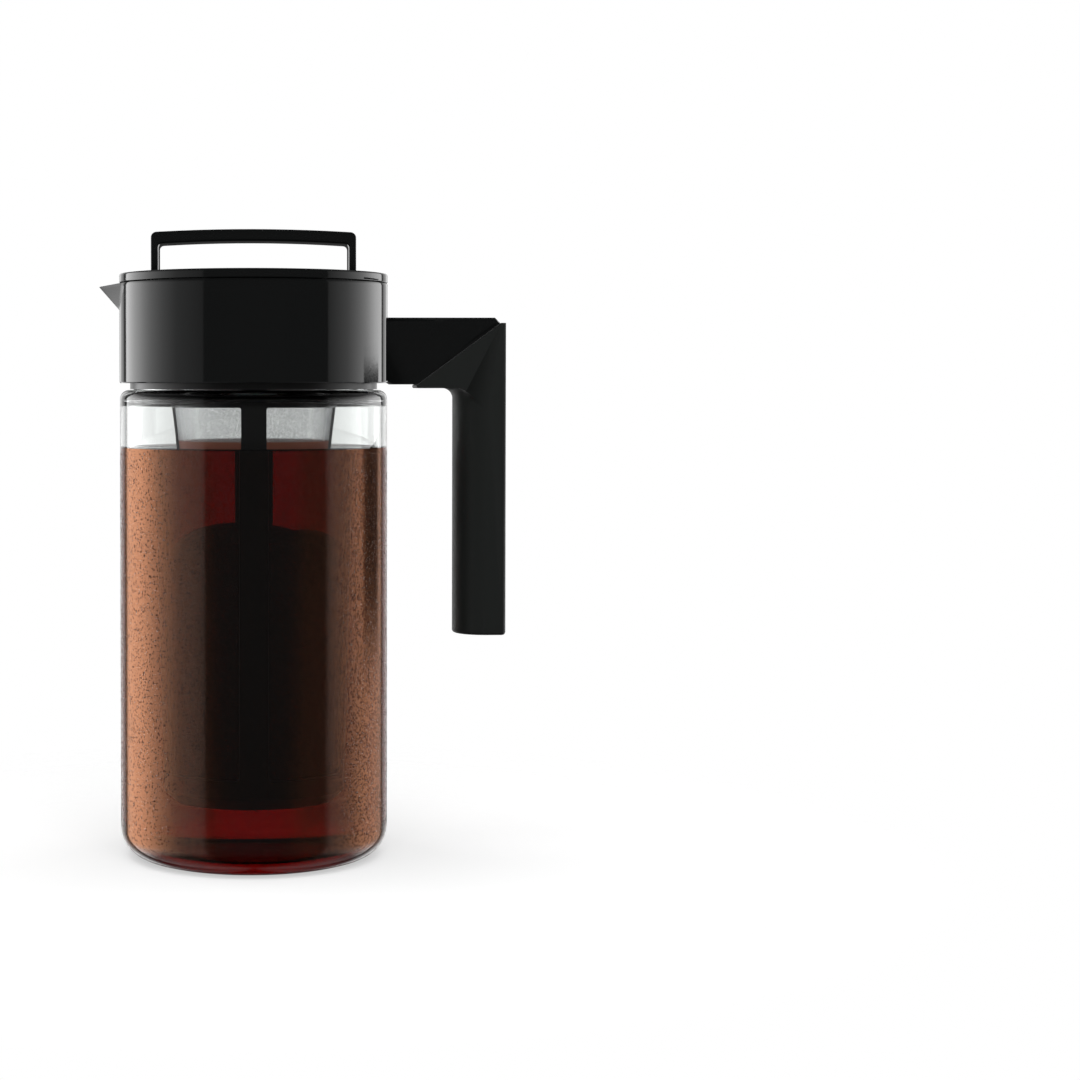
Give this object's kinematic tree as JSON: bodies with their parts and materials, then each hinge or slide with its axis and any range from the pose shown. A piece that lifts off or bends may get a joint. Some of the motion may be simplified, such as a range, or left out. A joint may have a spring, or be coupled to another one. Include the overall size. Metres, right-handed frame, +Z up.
{
  "type": "cold brew coffee maker",
  "caption": "Clear cold brew jug with black collar, pouring spout and side handle, a turn-and-lift lid with strap handle, and a mesh infuser hung from the lid.",
  "frame": {"origin": "centre of the jug's flat base, on the jug's axis", "axes": "+Z up along the jug's axis; the handle is on +X, the spout on -X; the picture looks along +Y"},
  "size_m": [0.1539, 0.102, 0.2375],
  "materials": {
    "clear_copolyester": "clear moulded copolyester, polished",
    "black_gloss": "glossy moulded black polypropylene",
    "grip_black": "matte soft-touch black",
    "infuser_black": "satin moulded black",
    "silicone": "translucent grey silicone",
    "screw_steel": "plain stainless",
    "steel_mesh": "fine woven mesh"
  },
  "bodies": {
    "jug": {"jug_base": "clear_copolyester", "jug_side": "clear_copolyester", "jug_neck": "clear_copolyester", "neck_gasket": "silicone", "collar": "black_gloss", "collar_shelf": "black_gloss", "neck_ring": "black_gloss", "handle_frame": "black_gloss", "grip_sleeve": "grip_black", "handle_screws": "screw_steel"},
    "lid_carrier": {"rim_seal": "silicone"},
    "lid": {"lid_cap": "black_gloss", "lid_handle": "black_gloss", "lid_plug": "black_gloss", "infuser_socket": "black_gloss", "lid_shelf_seal": "silicone"},
    "infuser_carrier": {"infuser_seal": "silicone"},
    "infuser": {"infuser_ring": "infuser_black", "infuser_frame": "infuser_black", "infuser_base": "infuser_black", "mesh_panel_back_right": "steel_mesh", "mesh_panel_back_left": "steel_mesh", "mesh_panel_front_left": "steel_mesh", "mesh_panel_front_right": "steel_mesh"}
  },
  "joints": [
    {"name": "lid_lift", "type": "slide", "parent": "jug", "child": "lid_carrier", "axis": [0, 0, 1], "range_m": [0, 0.2]},
    {"name": "lid_turn", "type": "hinge", "parent": "lid_carrier", "child": "lid", "pos_m": [0, 0, 0.2175], "axis": [0, 0, 1], "range_deg": [0, 90]},
    {"name": "infuser_drop", "type": "slide", "parent": "lid", "child": "infuser_carrier", "axis": [0, 0, -1], "range_m": [0, 0.013]},
    {"name": "infuser_turn", "type": "hinge", "parent": "infuser_carrier", "child": "infuser", "pos_m": [0, 0, 0.2], "axis": [0, 0, 1], "range_deg": [0, 90]}
  ]
}
